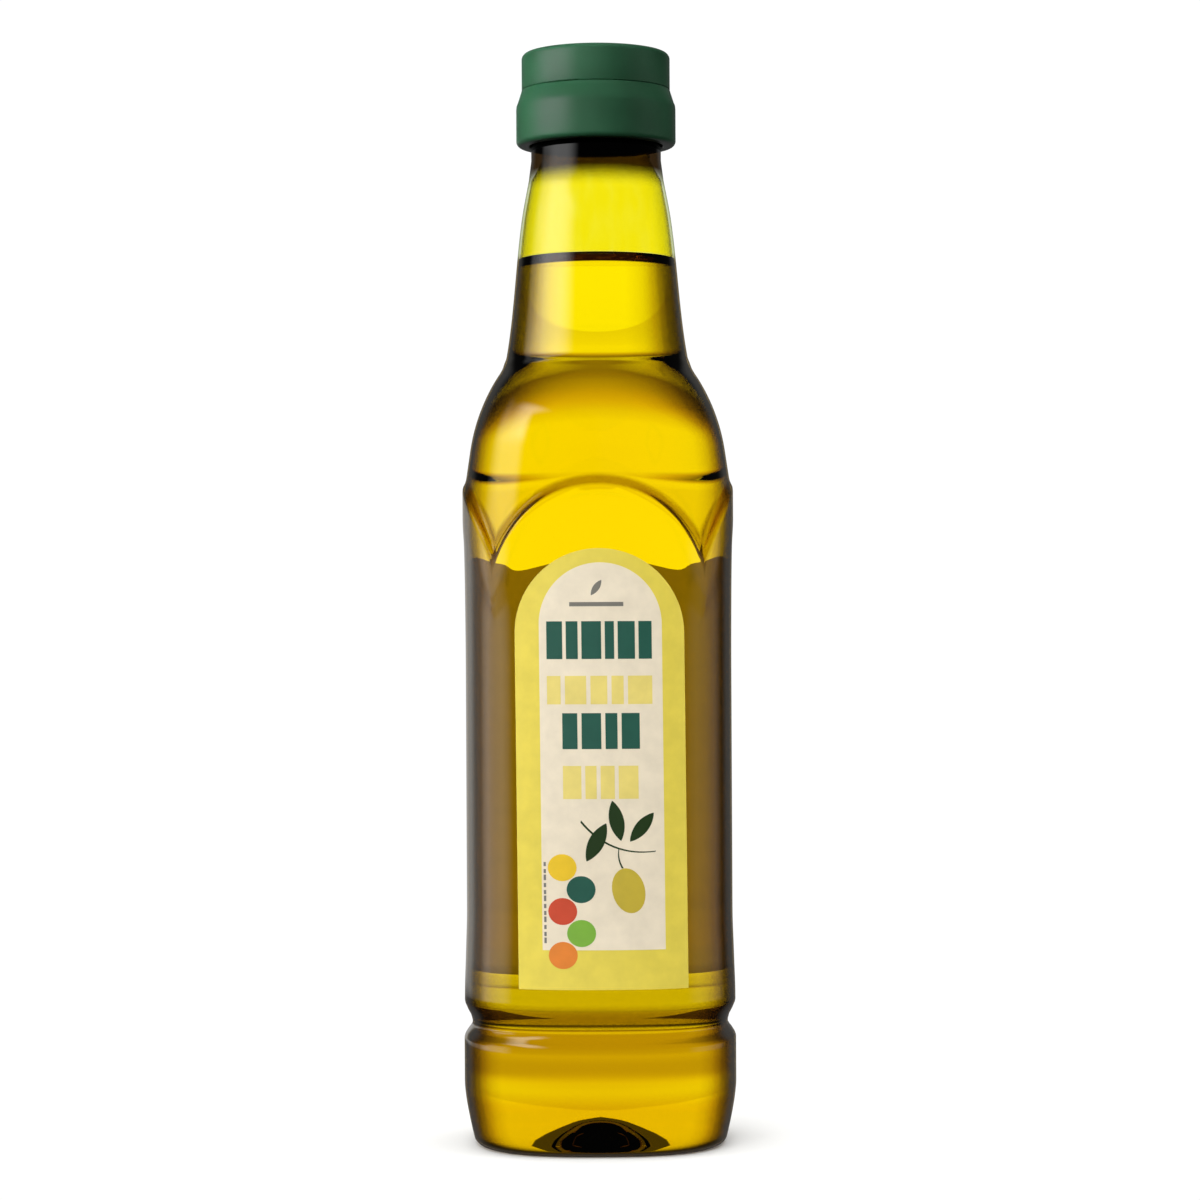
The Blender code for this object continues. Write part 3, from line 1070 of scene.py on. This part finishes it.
@dataclass
class Closure:
    """The screw cap and the wider band that it breaks away from."""

    top_z: float = 242.1 * MM
    crown: float = 0.3 * MM
    half: float = 16.5 * MM
    edge_round: float = 1.35 * MM
    foot_z: float = 233.65 * MM
    foot_round: float = 0.12 * MM
    bore_half: float = 13.9 * MM
    ceiling_z: float = 239.7 * MM
    gate_half: float = 1.1 * MM
    gate_depth: float = 0.25 * MM
    band_half: float = 17.75 * MM
    band_top_z: float = 233.56 * MM
    band_shoulder_z: float = 229.8 * MM
    band_foot_z: float = 221.1 * MM
    band_round: float = 1.15 * MM
    band_bore_half: float = 14.9 * MM
    bridges: int = 12
    bridge_width: float = 0.8 * MM
    columns: int = 144

    @staticmethod
    def place(ring: Ring, angle: float) -> Point:
        """The point of a round ring at an angle."""
        return ring.half * math.cos(angle), ring.half * math.sin(angle), ring.z

    def cap_rings(self) -> list[Ring]:
        """Section of the cap, from the middle of its top, round its wall, to its ceiling.

        Returns:
            The rings.
        """
        edge_z = self.top_z - self.crown - self.edge_round
        pit = self.top_z - self.gate_depth
        foot = self.foot_z + self.foot_round
        return [
            Ring(pit, 0),
            Ring(pit, self.gate_half - 0.35 * MM),
            Ring(self.top_z - 0.06 * MM, self.gate_half),
            Ring(self.top_z - 0.01 * MM, self.gate_half + 0.3 * MM),
            Ring(self.top_z - self.crown / 4, self.half / 2),
            *quarter_round(self.half - self.edge_round, edge_z, self.edge_round, math.pi / 2, 10),
            Ring((edge_z + foot) / 2, self.half),
            *quarter_round(self.half - self.foot_round, foot, self.foot_round, 0, 4),
            Ring(self.foot_z, self.bore_half),
            Ring(self.ceiling_z, self.bore_half),
            Ring(self.ceiling_z, 0),
        ]

    def band_rings(self) -> list[Ring]:
        """Closed section of the band.

        Returns:
            The rings.
        """
        foot_z = self.band_foot_z + self.band_round
        return [
            Ring(self.band_top_z, self.half - 0.1 * MM),
            Ring(self.band_top_z - 0.12 * MM, self.half + 0.02 * MM),
            Ring(self.band_shoulder_z + 0.9 * MM, self.band_half - 0.35 * MM),
            Ring(self.band_shoulder_z + 0.3 * MM, self.band_half - 0.09 * MM),
            Ring(self.band_shoulder_z - 0.6 * MM, self.band_half),
            *quarter_round(self.band_half - self.band_round, foot_z, self.band_round, 0, 8),
            Ring(self.band_foot_z, self.band_bore_half + 0.2 * MM),
            Ring(self.band_foot_z + 0.2 * MM, self.band_bore_half),
            Ring(self.band_top_z, self.band_bore_half),
        ]

    def add_bridges(self, shape: BMesh) -> None:
        """Adds the small breakaway bridges that join the band to the cap.

        Args:
            shape: The band's shape, which takes them.
        """
        height = self.foot_z - self.band_top_z
        for index in range(self.bridges):
            size = Matrix.Diagonal((1.6 * MM, self.bridge_width, height * 1.5, 1))
            reach = Matrix.Translation((self.half - 1.1 * MM, 0, self.band_top_z + height / 4))
            turn = Matrix.Rotation(math.tau * (index + 0.5) / self.bridges, 4, "Z")
            bmesh.ops.create_cube(shape, size=1, matrix=turn @ reach @ size)

    def build(self) -> list[Object]:
        """Builds and dresses the cap and the band.

        Returns:
            The two pieces.
        """
        plastic = [MouldedPolypropylene().material()]
        cap = turned(self.cap_rings(), self.columns, closed=False, place=self.place)
        band = turned(self.band_rings(), self.columns, closed=True, place=self.place)
        self.add_bridges(band)
        pieces = (("screw_cap", cap, "cap"), ("breakaway_band", band, "tamper_band"))
        return [
            dressed(finished(name, shape, sharp=40), Slot.CLOSURE, plastic, node)
            for name, shape, node in pieces
        ]


class Ink(Enum):
    """The inks of the labels, each printed over the same coated paper."""

    YELLOW = ("paper_ink_straw", "ead652")
    CREAM = ("paper_ink_cream", "f1e4ca")
    GREEN = ("paper_ink_bottle_green", "265c4d")
    STRAW = ("paper_ink_pale_gold", "efdb78")
    GOLD = ("paper_ink_gold", "c9b23a")
    LEAF = ("paper_ink_leaf", "263c1c")
    GREY = ("paper_ink_grey", "7d7a70")
    LIME = ("paper_ink_lime", "7fb53c")
    SUN = ("paper_ink_sun", "f2c81e")
    ORANGE = ("paper_ink_orange", "e8842a")
    RED = ("paper_ink_red", "cf4a2c")


@dataclass
class LabelPrint:
    """The printed fields of one label, laid out flat in millimetres, across and up."""

    inks: list[Ink] = field(default_factory=lambda: list(Ink))
    shape: BMesh = field(default_factory=bmesh.new)

    def sheet(self, ink: Ink, columns: int, rows: int) -> list[BMVert]:
        """Lays down a grid from -1 to 1 in an ink.

        Args:
            ink: Its ink.
            columns: Its faces across.
            rows: Its faces up.

        Returns:
            Its vertices.
        """
        before = len(self.shape.faces)
        bmesh.ops.create_grid(self.shape, x_segments=columns, y_segments=rows, size=1)
        self.shape.faces.ensure_lookup_table()
        made = self.shape.faces[before:]
        for face in made:
            face.material_index = self.inks.index(ink)
        return list({vertex for face in made for vertex in face.verts})

    def arch(self, ink: Ink, half: float, foot: float, top: float, across: float = 0.0) -> None:
        """Lays down an arch-topped field.

        Args:
            ink: Its ink.
            half: Half its width, and the radius of its arch.
            foot: Height of its lower edge.
            top: Height of its arch's top.
            across: Place of its middle.
        """
        for vertex in self.sheet(ink, 48, 90):
            x = half * math.sin(vertex.co.x * math.pi / 2)
            head = top - half + math.sqrt(max(half**2 - x**2, 0))
            vertex.co = (across + x, foot + (head - foot) * (vertex.co.y + 1) / 2, 0)

    def bar(self, ink: Ink, left: float, right: float, low: float, high: float) -> None:
        """Lays down an upright rectangle.

        Args:
            ink: Its ink.
            left: Place of its left edge.
            right: Place of its right edge.
            low: Height of its lower edge.
            high: Height of its upper edge.
        """
        wide, tall = right - left, high - low
        for vertex in self.sheet(ink, max(1, math.ceil(wide / 1.2)), max(1, math.ceil(tall / 2.5))):
            x = left + wide * (vertex.co.x + 1) / 2
            vertex.co = (x, low + tall * (vertex.co.y + 1) / 2, 0)

    def blocks(
        self, ink: Ink, left: float, right: float, low: float, high: float, widths: Sequence[float]
    ) -> None:
        """Lays down a row of blocks that stands where a line of words would be.

        Args:
            ink: Their ink.
            left: Left end of the row.
            right: Right end of the row.
            low: Height of the lower edge.
            high: Height of the upper edge.
            widths: Relative widths of the blocks, which have an even gap of 0.28 between them.
        """
        gap = 0.28
        unit = (right - left) / (sum(widths) + gap * (len(widths) - 1))
        for width in widths:
            self.bar(ink, left, left + width * unit, low, high)
            left += (width + gap) * unit

    def blob(
        self, ink: Ink, middle: tuple[float, float], half: float, tall: float,
        turn: float = 0.0, point: float = 0.0,
    ) -> None:
        """Lays down an oval, which point draws out to a tip at both ends.

        Args:
            ink: Its ink.
            middle: Place and height of its middle.
            half: Half its width.
            tall: Half its length.
            turn: Its turn in degrees, anticlockwise from upright.
            point: 0 for an oval, up to 1 for a leaf with two sharp tips.
        """
        cos, sin = math.cos(math.radians(turn)), math.sin(math.radians(turn))
        for vertex in self.sheet(ink, 8, 16):
            up = math.sin(vertex.co.y * math.pi / 2)
            wide = math.sqrt(max(1 - up * up, 0)) * (1 - point) + (1 - up * up) * point
            x, y = vertex.co.x * half * wide, up * tall
            vertex.co = (middle[0] + x * cos - y * sin, middle[1] + x * sin + y * cos, 0)

    def stem(self, ink: Ink, start: Vector, end: Vector, sag: float, width: float) -> None:
        """Lays down a thin bent stroke.

        Args:
            ink: Its ink.
            start: Its first end, across and height.
            end: Its other end.
            sag: How far its middle bends to the left of the way from start to end.
            width: Its width at the start, which halves towards the end.
        """
        way = end - start
        side = Vector((-way.y, way.x)).normalized()
        for vertex in self.sheet(ink, 16, 1):
            share = (vertex.co.x + 1) / 2
            bow = sag * 4 * share * (1 - share)
            off = vertex.co.y * width / 2 * (1 - share / 2)
            vertex.co = (start + way * share + side * (bow + off)).to_3d()


@dataclass
class Label:
    """One label: an arch-topped sheet wrapped on its panel, with its print on top.

    Its outline, how far it sits aside and the height it leans about are in millimetres.
    """

    form: BottleForm
    face: Face
    half_width: float = 18.2
    foot_z: float = 36.4
    top_z: float = 131.05
    aside: float = 0.0
    lean: float = 0.0
    lean_z: float = 83.0
    clear: float = 0.03 * MM
    thick: float = 0.12 * MM
    ink_thick: float = 0.02 * MM
    out: Vector = field(init=False)
    wall: list[Ring] = field(init=False)

    def __post_init__(self) -> None:
        """Keeps the way it faces and the wall's fine rings, which it is wrapped on."""
        self.out = Vector((math.cos(self.face.value), math.sin(self.face.value), 0))
        self.wall = eased(self.form.wall_rings(), self.form.pitch)

    def wall_half(self, angle: float, z: float) -> float:
        """Distance from the axis to the outer wall at an angle and a height.

        Args:
            angle: The angle.
            z: The height.

        Returns:
            The distance.
        """
        low, high = 0, len(self.wall) - 1
        while high - low > 1:
            middle = (low + high) // 2
            if self.form.place(self.wall[middle], angle)[2] < z:
                low = middle
            else:
                high = middle
        under = self.form.place(self.wall[low], angle)
        over = self.form.place(self.wall[high], angle)
        share = (z - under[2]) / (over[2] - under[2])
        near, far = math.hypot(*under[:2]), math.hypot(*over[:2])
        return near + (far - near) * share

    def wrap(self, shape: BMesh, proud: float, thickness: float) -> None:
        """Moves a flat layout onto the wall and gives it a body.

        Args:
            shape: The flat layout.
            proud: Distance of its underside from the wall.
            thickness: How thick it becomes, outwards.
        """
        for vertex in shape.verts:
            leant = (self.lean_z - vertex.co.y) * math.radians(self.lean)
            across, z = (vertex.co.x + self.aside + leant) * MM, vertex.co.y * MM
            turn = math.asin(across / self.form.panel_half)
            for _ in range(3):
                turn = math.asin(across / (self.wall_half(turn, z) + proud))
            radius = self.wall_half(turn, z) + proud
            angle = self.face.value + turn
            vertex.co = (radius * math.cos(angle), radius * math.sin(angle), z)
        for face in shape.faces:
            face.normal_update()
        turned_in = [face for face in shape.faces if face.normal.dot(self.out) < 0]
        bmesh.ops.reverse_faces(shape, faces=turned_in)
        bmesh.ops.remove_doubles(shape, verts=shape.verts, dist=1e-7)
        for vertex in shape.verts:
            vertex.normal_update()
        bmesh.ops.solidify(shape, geom=shape.faces[:], thickness=-thickness)
        bmesh.ops.recalc_face_normals(shape, faces=shape.faces)

    def sheet(self, name: str) -> Object:
        """Builds the paper of the label.

        Args:
            name: Name of the side that it is on.

        Returns:
            The piece.
        """
        flat = LabelPrint()
        flat.arch(Ink.YELLOW, self.half_width, self.foot_z, self.top_z)
        self.wrap(flat.shape, self.clear, self.thick)
        for face in flat.shape.faces:
            face.material_index = int(face.normal.dot(self.out) < -0.3)
        # The glued side has a painted glow, standing in for light that the paper lets through from
        # behind.
        glue = CoatedPaper("paper_glued_side", "e2d6be", roughness=0.6, painted_glow=0.15)
        sides = [CoatedPaper(*Ink.YELLOW.value).material(), glue.material()]
        return dressed(finished(f"{name}_paper", flat.shape), Slot.LABEL, sides, f"{name}_label")

    def field_print(self) -> LabelPrint:
        """Lays out the label's cream field.

        Returns:
            The layout.
        """
        flat = LabelPrint()
        if self.face is Face.FRONT:
            flat.arch(Ink.CREAM, 13.2, 44.9, 128, 0.2)
        else:
            flat.arch(Ink.CREAM, 15.8, 39.0, 128.6)
        return flat

    def front_marks(self) -> LabelPrint:
        """Lays out the front's print: four rows of blocks, a twig with its fruit and dots.

        Returns:
            The layout.
        """
        flat = LabelPrint()
        flat.bar(Ink.GREY, -6.4, 5.2, 118.6, 119.5)
        flat.blob(Ink.GREY, (-0.6, 122.6), 0.7, 2.0, -35, 0.9)
        flat.blocks(Ink.GREEN, -11.4, 11.2, 107.3, 115.4, (1.2, 0.9, 1.5, 0.7, 1.3, 1.0))
        flat.blocks(Ink.STRAW, -11.4, 11.2, 97.6, 103.7, (0.9, 1.4, 1.1, 0.8, 1.6))
        flat.blocks(Ink.GREEN, -8.2, 8.4, 88.0, 95.7, (1.0, 1.3, 0.8, 1.2))
        flat.blocks(Ink.STRAW, -8.2, 8.0, 77.3, 84.4, (1.3, 0.8, 1.0, 1.4))
        flat.stem(Ink.LEAF, Vector((-4.5, 72.5)), Vector((11.5, 66.0)), -2.4, 0.5)
        flat.blob(Ink.LEAF, (-1.2, 68.0), 1.7, 4.6, -28, 0.85)
        flat.blob(Ink.LEAF, (3.2, 72.6), 1.6, 4.4, 12, 0.85)
        flat.blob(Ink.LEAF, (8.6, 71.2), 1.4, 4.0, -40, 0.85)
        flat.blob(Ink.GOLD, (5.6, 57.6), 3.5, 4.9, 14)
        flat.stem(Ink.LEAF, Vector((4.4, 62.4)), Vector((3.6, 66.6)), 0.4, 0.4)
        for index, ink in enumerate((Ink.SUN, Ink.GREEN, Ink.RED, Ink.LIME, Ink.ORANGE)):
            across = -6.6 + (2.0 if index % 2 else -2.0)
            flat.blob(ink, (across, 62.6 - index * 4.7), 3.1, 2.9)
        for index in range(12):
            low = 46.4 + index * 1.5
            flat.bar(Ink.GREY, -12.6, -12.1, low, low + (0.9 if index % 3 else 1.2))
        return flat

    def back_marks(self) -> LabelPrint:
        """Lays out the back's print: plain rules and rows of strokes in place of small print.

        Returns:
            The layout.
        """
        flat = LabelPrint()
        flat.bar(Ink.GREEN, -9.5, 9.5, 113.2, 116.4)
        flat.bar(Ink.GOLD, -9.5, 9.5, 110.6, 111.3)
        widths = ((1.2, 0.8, 1.5, 1.1), (0.7, 1.4, 1.0, 1.2), (1.6, 0.9, 1.3), (1.0, 1.1, 0.8, 1.4))
        for index in range(14):
            low = 105.6 - index * 2.75
            right = 12.6 if index % 4 != 3 else 5.0
            flat.blocks(Ink.GREY, -12.6, right, low, low + 1.05, widths[index % 4])
        for index in range(5):
            low = 45.0 + index * 4.0
            flat.bar(Ink.GREEN, -12.6, 12.6, low, low + 0.25)
            flat.blocks(Ink.GREY, -12.0, -3.0, low + 1.3, low + 2.5, (1.2, 1.0))
            flat.bar(Ink.GREY, 6.0, 12.0, low + 1.3, low + 2.5)
        return flat

    def printed(self, flat: LabelPrint, name: str, proud: float) -> Object:
        """Wraps a layout, gives its ink a body and dresses it.

        Args:
            flat: The layout.
            name: Name of the piece.
            proud: Height of the ink's underside above the wall.

        Returns:
            The printed piece.
        """
        used = sorted({face.material_index for face in flat.shape.faces})
        for face in flat.shape.faces:
            face.material_index = used.index(face.material_index)
        self.wrap(flat.shape, proud, self.ink_thick)
        inks = [CoatedPaper(*flat.inks[index].value).material() for index in used]
        return dressed(finished(name, flat.shape), Slot.LABEL, inks)

    def build(self) -> list[Object]:
        """Builds and dresses the label and its print.

        Returns:
            Its three pieces.
        """
        name = self.face.name.lower()
        marks = self.front_marks() if self.face is Face.FRONT else self.back_marks()
        lift = self.clear + self.thick
        return [
            self.sheet(name),
            self.printed(self.field_print(), f"{name}_field", lift),
            self.printed(marks, f"{name}_marks", lift + self.ink_thick),
        ]


@dataclass(frozen=True)
class Window:
    """A tall window far off in the studio, which only the gloss mirrors.

    bearing is its direction in degrees from the front, growing to the left. It is fully bright
    up to full degrees off that and dark from edge degrees on. rises gives the share of its light
    for each upward slope of the view, and starts at the slope -lowest.
    """

    bearing: float
    full: float
    edge: float
    light: float
    rises: tuple[tuple[float, float], ...] = ((0.0, 1.0), (1.0, 1.0))
    lowest: float = 0.5

    def glow(self, add: Adder, turn: Node, rise: NodeSocket) -> Node:
        """Adds the window's light.

        Args:
            add: Adds a node to the world.
            turn: The level part of the view's direction, of length 1.
            rise: The upright part of the view's direction.

        Returns:
            The light that the view meets.
        """
        angle = math.radians(self.bearing)
        way = (-math.sin(angle), -math.cos(angle), 0)
        near = add("VectorMath", {0: turn, 1: way}, operation="DOT_PRODUCT").outputs["Value"]
        dark, bright = (math.cos(math.radians(off)) for off in (self.edge, self.full))
        span = {"From Min": dark, "From Max": bright, "To Max": self.light}
        pane = add("MapRange", {"Value": near, **span}, **SMOOTH)
        raised = add("MapRange", {"Value": rise, "From Min": -self.lowest, "From Max": 1.0})
        share = ramp_stops(add("ValToRGB", {0: raised}), self.rises, -self.lowest, 1 + self.lowest)
        return add("Math", {0: pane, 1: share}, operation="MULTIPLY")


@dataclass(frozen=True)
class StudioCard:
    """A card beside the bottle, lit white or black, which only the gloss mirrors.

    It stands across its bearing from the axis, in degrees from the front growing to the left.
    It is solid up to the share full of its half-width and half-height and fades out from there.
    """

    name: str
    bearing: float
    away: float
    low: float
    high: float
    half_width: float
    full: tuple[float, float]
    light: float

    def material(self) -> Material:
        """Builds the card's material: an even glow, or none, that fades out at all four edges.

        Returns:
            The material.
        """
        made, add = new_material(self.name)
        axes = add("SeparateXYZ", {0: add("TexCoord").outputs["UV"]}).outputs
        fades = []
        for name, full in zip("XY", self.full):
            off = add("Math", {0: axes[name], 1: 0.5}, operation="SUBTRACT")
            far = add("Math", {0: off}, operation="ABSOLUTE")
            edge = {"Value": far, "From Min": 0.5, "From Max": full / 2}
            fades.append(add("MapRange", edge, **SMOOTH))
        solid = add("Math", {0: fades[0], 1: fades[1]}, operation="MULTIPLY")
        glow = add("Emission", {"Strength": self.light})
        shader = add("MixShader", {0: solid, 1: add("BsdfTransparent"), 2: glow})
        add("OutputMaterial", {"Surface": shader})
        return made

    def build(self) -> None:
        """Stands the card up, facing the bottle's axis."""
        angle = math.radians(self.bearing)
        half_high = (self.high - self.low) / 2
        spot = (-math.sin(angle) * self.away, -math.cos(angle) * self.away, self.low + half_high)
        shape = bmesh.new()
        shape.loops.layers.uv.new("card")
        bmesh.ops.create_grid(shape, x_segments=8, y_segments=4, size=1, calc_uvs=True)
        upright = Matrix.Rotation(math.pi / 2, 4, "X")
        turn = Matrix.Rotation(-angle, 4, "Z")
        size = Matrix.Diagonal((self.half_width, half_high, 1, 1))
        move = Matrix.Translation(spot) @ turn @ upright @ size
        bmesh.ops.transform(shape, verts=shape.verts, matrix=move)
        piece = finished(self.name, shape)
        piece.data.materials.append(self.material())
        for unseen in ("camera", "diffuse", "transmission", "shadow"):
            setattr(piece, f"visible_{unseen}", False)


@dataclass(frozen=True)
class SoftBox:
    """A soft box that points at the bottle's axis, at the height aim_z. Gloss and oil don't show it.

    spread is the full angle of its beam in degrees, which a grid in front of it narrows.
    """

    name: str
    place: Point
    size: tuple[float, float]
    watts: float
    aim_z: float = 120 * MM
    spread: float = 180.0

    def build(self) -> None:
        """Hangs the soft box."""
        data = bpy.data.lights.new(self.name, "AREA")
        data.shape = "RECTANGLE"
        data.size, data.size_y = self.size
        data.energy = self.watts
        data.spread = math.radians(self.spread)
        made = bpy.data.objects.new(self.name, data)
        made.location = self.place
        aim = Vector((0, 0, self.aim_z)) - Vector(self.place)
        made.rotation_euler = aim.to_track_quat("-Z", "Y").to_euler()
        made.visible_glossy = False
        made.visible_transmission = False
        bpy.context.scene.collection.objects.link(made)


# The upward slopes between which a view from the bottle's body meets a window
BODY_RISES = ((-0.105, 0.0), (-0.09, 1.0), (0.03, 1.0), (0.08, 0.0))
DOME_RISES = ((0.06, 0.0), (0.12, 0.25), (0.3, 1.0), (0.4, 0.8), (0.55, 0.0))


@dataclass
class Studio:
    """Plain floor, bright wall behind, soft boxes and the camera at the photograph's angle."""

    camera_distance: float = 768 * MM
    camera_height: float = 113.5 * MM
    camera_aside: float = 0.36 * MM
    lens: float = 103.4
    shift_up: float = 0.025
    roll: float = 0.283
    floor_half: float = 4.0
    background: float = 1.03
    room: float = 0.012
    windows: tuple[Window, ...] = (
        Window(90, 4, 25, 1.0, DOME_RISES),
        Window(92, 8, 30, 0.75, BODY_RISES),
        Window(120, 10, 24, 0.22, BODY_RISES),
        Window(160, 8, 26, 0.45, BODY_RISES),
        Window(-97, 12, 36, 0.22, (*BODY_RISES[:3], (0.1, 0.0))),
        Window(180, 26, 47, 0.12),
    )
    cards: tuple[StudioCard, ...] = (
        StudioCard("white_card", 63, 240 * MM, 222 * MM, 345 * MM, 165 * MM, (0.2, 0.6), 2.1),
        StudioCard("black_flag", 28, 52 * MM, 140 * MM, 188 * MM, 34 * MM, (0.7, 0.7), 0.0),
    )
    soft_boxes: tuple[SoftBox, ...] = (
        SoftBox("key_left", (-0.95, -0.25, 0.3), (0.55, 0.9), 5.5),
        SoftBox("key_right", (0.95, -0.2, 0.3), (0.55, 0.9), 4.8),
        SoftBox("cap_kicker", (-0.21, -0.11, 0.3), (0.06, 0.06), 0.06, 232 * MM, 40),
        SoftBox("front_fill", (-0.35, -1.0, 0.5), (0.8, 0.8), 7.6),
        SoftBox("top", (0.0, 0.1, 1.4), (1.2, 1.2), 17.0),
    )
    ambient: float = 0.5
    horizon_light: float = 1.12
    ceiling_light: float = 0.08
    ceiling: tuple[float, float] = (0.10, 0.35)

    def camera(self) -> None:
        """Puts the camera level in front of the bottle, a hair off upright as in the picture."""
        data = bpy.data.cameras.new("camera")
        data.lens = self.lens
        data.shift_y = self.shift_up
        made = bpy.data.objects.new("camera", data)
        made.location = (self.camera_aside, -self.camera_distance, self.camera_height)
        made.rotation_euler = (math.pi / 2, math.radians(self.roll), 0)
        bpy.context.scene.collection.objects.link(made)
        bpy.context.scene.camera = made

    def floor(self) -> None:
        """Lays the white paper floor."""
        shape = bmesh.new()
        bmesh.ops.create_grid(shape, x_segments=8, y_segments=8, size=self.floor_half)
        bmesh.ops.translate(shape, verts=shape.verts, vec=(0, 0, -0.01 * MM))
        piece = finished("studio_floor", shape)
        piece.data.materials.append(StudioPaper().material())
        piece.visible_glossy = False

    def world(self) -> None:
        """Surrounds the set with what a bottle is pictured in.

        The camera sees plain white. What shows through the oil is a lit wall all round, up to
        a darker ceiling. What the gloss mirrors is a dim room with the windows in it.
        """
        world = bpy.data.worlds.new("studio")
        bpy.context.scene.world = world
        world.use_nodes = True
        world.node_tree.nodes.clear()
        add = partial(add_node, world.node_tree)
        way = add("TexCoord").outputs["Generated"]
        rise = add("SeparateXYZ", {0: way}).outputs["Z"]
        slopes = {"From Min": self.ceiling[0], "From Max": self.ceiling[1]}
        lights = {"To Min": self.horizon_light, "To Max": self.ceiling_light}
        through = add("MapRange", {"Value": rise, **slopes, **lights}, **SMOOTH)
        flat = add("VectorMath", {0: way, 1: (1, 1, 0)}, operation="MULTIPLY")
        turn = add("VectorMath", {0: flat}, operation="NORMALIZE")
        light = add("Value")
        light.outputs[0].default_value = self.room
        for window in self.windows:
            light = add("Math", {0: light, 1: window.glow(add, turn, rise)}, operation="ADD")
        ray = add("LightPath").outputs
        seen = {"Diffuse": self.ambient, "Transmission": through, "Camera": self.background}
        for kind, own in seen.items():
            light = add("Mix", {0: ray[f"Is {kind} Ray"], 2: light, 3: own})
        background = add("Background", {"Color": (1, 1, 1, 1), "Strength": light})
        add("OutputWorld", {"Surface": background})

    def build(self) -> None:
        """Sets the whole studio up."""
        self.camera()
        self.floor()
        self.world()
        for thing in self.cards + self.soft_boxes:
            thing.build()
        bpy.context.scene.view_settings.view_transform = "Standard"


def main() -> None:
    """Builds the studio and every piece of the bottle, in order."""
    logging.basicConfig(level=logging.INFO, format="%(name)s %(message)s")
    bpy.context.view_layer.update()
    Studio().build()
    form = BottleForm()
    BottleShell(form).build()
    OilBody(form).build()
    ClingingFilm(form).build()
    Closure().build()
    Label(form, Face.FRONT, aside=0.45, lean=0.43).build()
    Label(form, Face.BACK, foot_z=34.8).build()


if __name__ == "__main__":
    main()
